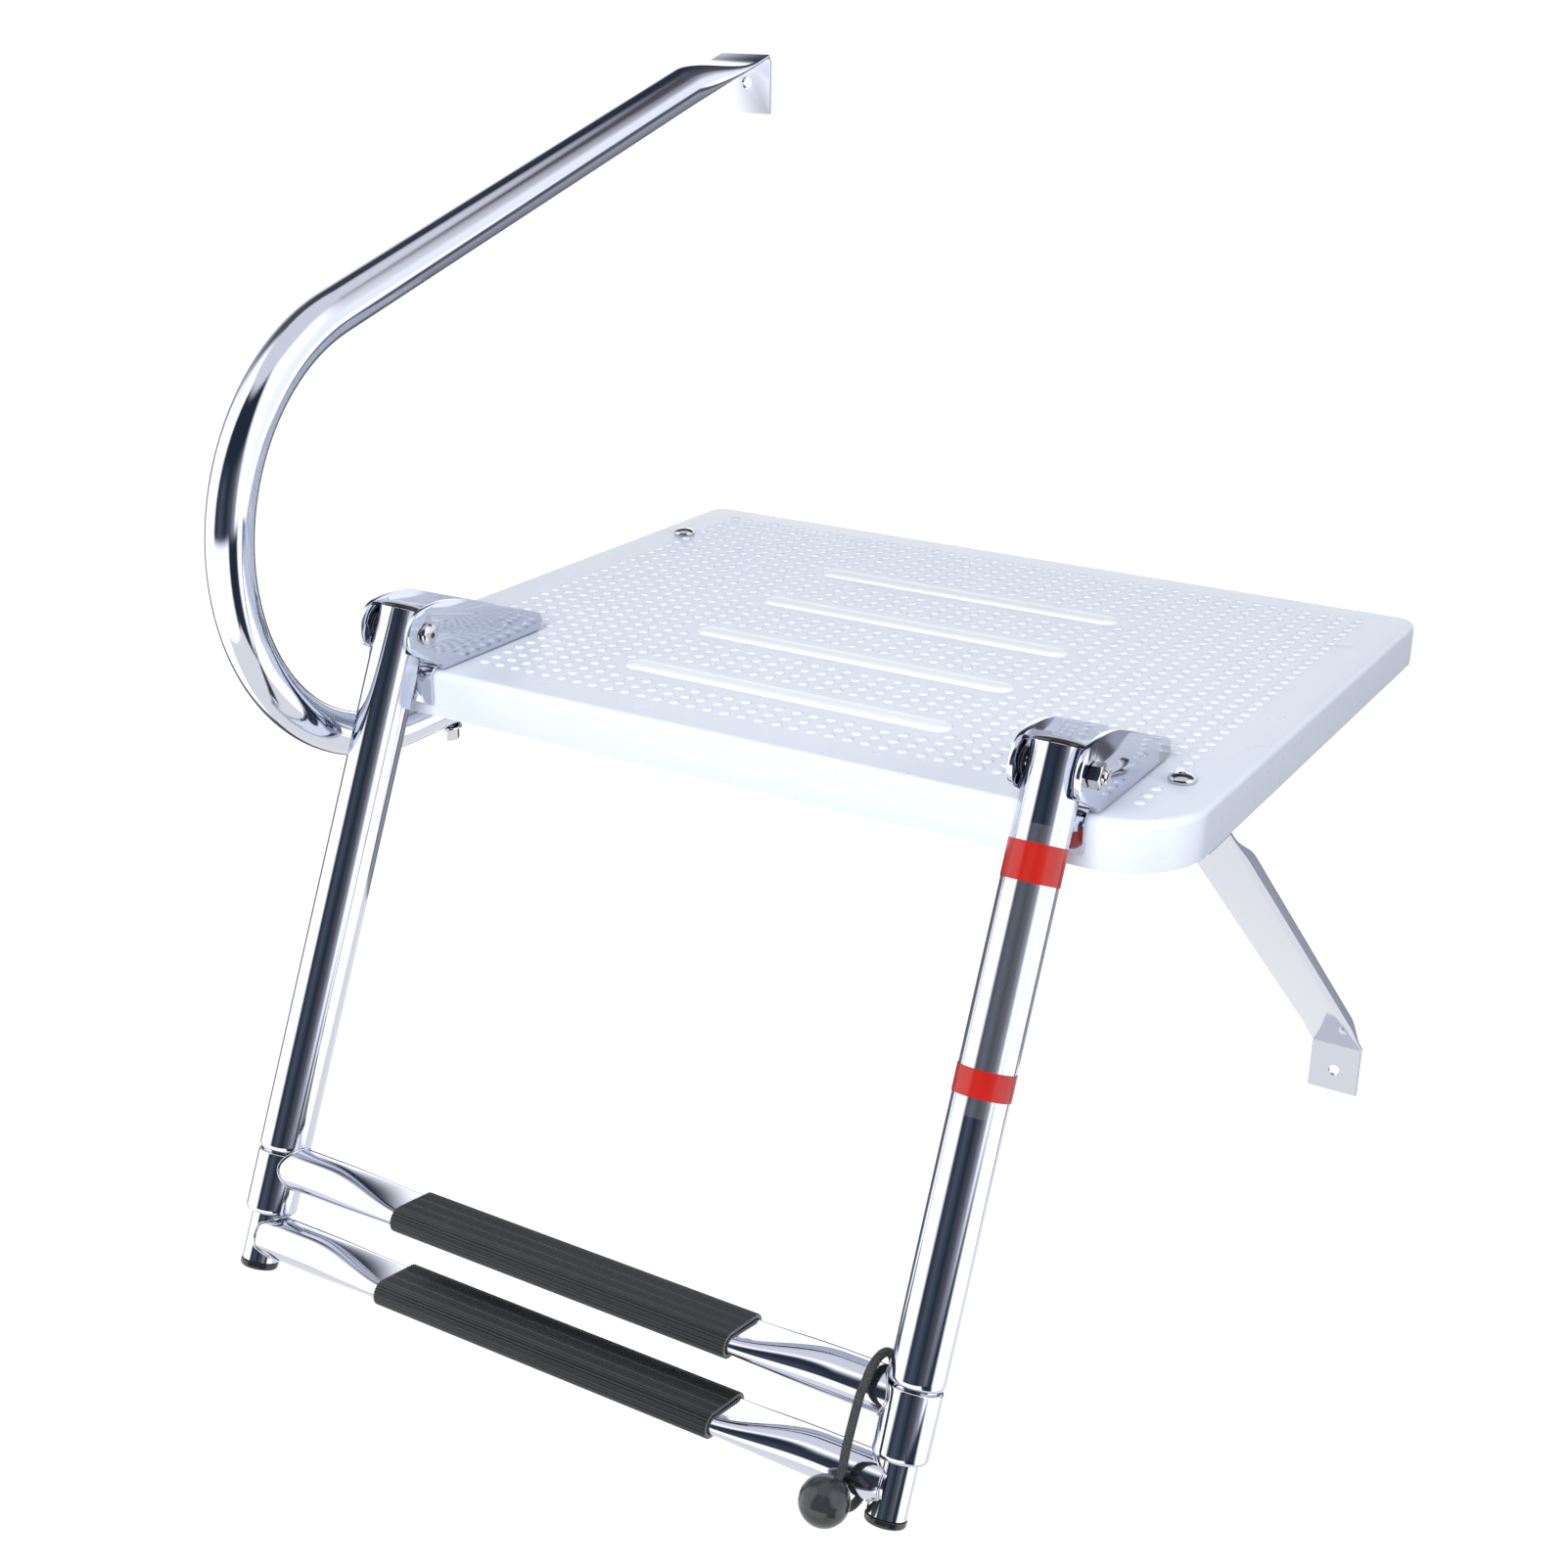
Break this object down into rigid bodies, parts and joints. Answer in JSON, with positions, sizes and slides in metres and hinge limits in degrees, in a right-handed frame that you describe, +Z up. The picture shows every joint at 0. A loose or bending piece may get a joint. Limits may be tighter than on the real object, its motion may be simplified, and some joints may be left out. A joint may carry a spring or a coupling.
{
  "type": "boat boarding ladder",
  "caption": "Swim platform with a fold-over telescoping boarding ladder, a bent grab rail and a support strut, for bolting to a boat's transom.",
  "frame": {"origin": "centre of the deck's rear face, where it rests on the transom", "axes": "+Z up, +Y towards the transom, +X to the right seen from the ladder"},
  "size_m": [0.578, 0.6742, 0.7322],
  "materials": {
    "deck_plastic": "moulded white plastic with a raised dot pattern",
    "polished_steel": "mirror polished stainless steel",
    "fastener_steel": "polished stainless steel",
    "black_plastic": "black moulded plastic",
    "tread_plastic": "black ribbed extrusion, satin",
    "nylon": "natural nylon",
    "spacer_plastic": "white moulded plastic",
    "elastic_cord": "braided dark grey cord",
    "ball_plastic": "dark grey moulded ball",
    "sleeve_film": "clear protective film",
    "sleeve_band": "plain red band printed on the film"
  },
  "bodies": {
    "platform": {"deck_panel": "deck_plastic", "hinge_bracket_left": "polished_steel", "hinge_bracket_right": "polished_steel", "handrail": "polished_steel", "support_strut": "polished_steel", "bolt_rear_left": "fastener_steel", "nut_rear_left": "fastener_steel", "washer_rear_left": "fastener_steel", "spacer_rear_left": "spacer_plastic", "bolt_front_left": "fastener_steel", "nut_front_left": "fastener_steel", "washer_front_left": "fastener_steel", "spacer_front_left": "spacer_plastic", "bolt_front_right": "fastener_steel", "nut_front_right": "fastener_steel", "washer_front_right": "fastener_steel", "spacer_front_right": "spacer_plastic", "base_bolt_left_rear": "fastener_steel", "base_nut_left_rear": "fastener_steel", "base_bolt_left_front": "fastener_steel", "base_nut_left_front": "fastener_steel", "base_bolt_right_rear": "fastener_steel", "base_nut_right_rear": "fastener_steel", "base_bolt_right_front": "fastener_steel", "base_nut_right_front": "fastener_steel", "pivot_bolt_left": "fastener_steel", "pivot_nut_left": "fastener_steel", "pivot_washer_left_inner": "nylon", "pivot_washer_left_outer": "nylon", "pivot_bolt_right": "fastener_steel", "pivot_nut_right": "fastener_steel", "pivot_washer_right_inner": "nylon", "pivot_washer_right_outer": "nylon"},
    "ladder_outer": {"outer_leg_left": "polished_steel", "leg_plug_left": "black_plastic", "outer_leg_right": "polished_steel", "leg_plug_right": "black_plastic"},
    "middle_section": {"middle_leg_left": "polished_steel", "collar_left": "polished_steel", "guide_bush_left": "nylon", "middle_leg_right": "polished_steel", "collar_right": "polished_steel", "guide_bush_right": "nylon", "step_1_tube": "polished_steel", "step_1_tread": "tread_plastic"},
    "lower_section": {"inner_leg_left": "polished_steel", "end_cap_left": "black_plastic", "guide_plug_left": "nylon", "inner_leg_right": "polished_steel", "end_cap_right": "black_plastic", "guide_plug_right": "nylon", "step_2_tube": "polished_steel", "step_2_tread": "tread_plastic", "retaining_cord": "elastic_cord", "cord_ball": "ball_plastic"}
  },
  "joints": [
    {"name": "ladder_fold", "type": "hinge", "parent": "platform", "child": "ladder_outer", "pos_m": [0, -0.4726, 0.0434], "axis": [-1, 0, 0], "range_deg": [0, 244]},
    {"name": "middle_slide", "type": "slide", "parent": "ladder_outer", "child": "middle_section", "axis": [0, -0.4067, -0.9135], "range_m": [0, 0.25]},
    {"name": "lower_slide", "type": "slide", "parent": "middle_section", "child": "lower_section", "axis": [0, -0.4067, -0.9135], "range_m": [0, 0.25], "deforming": ["retaining_cord"]}
  ]
}
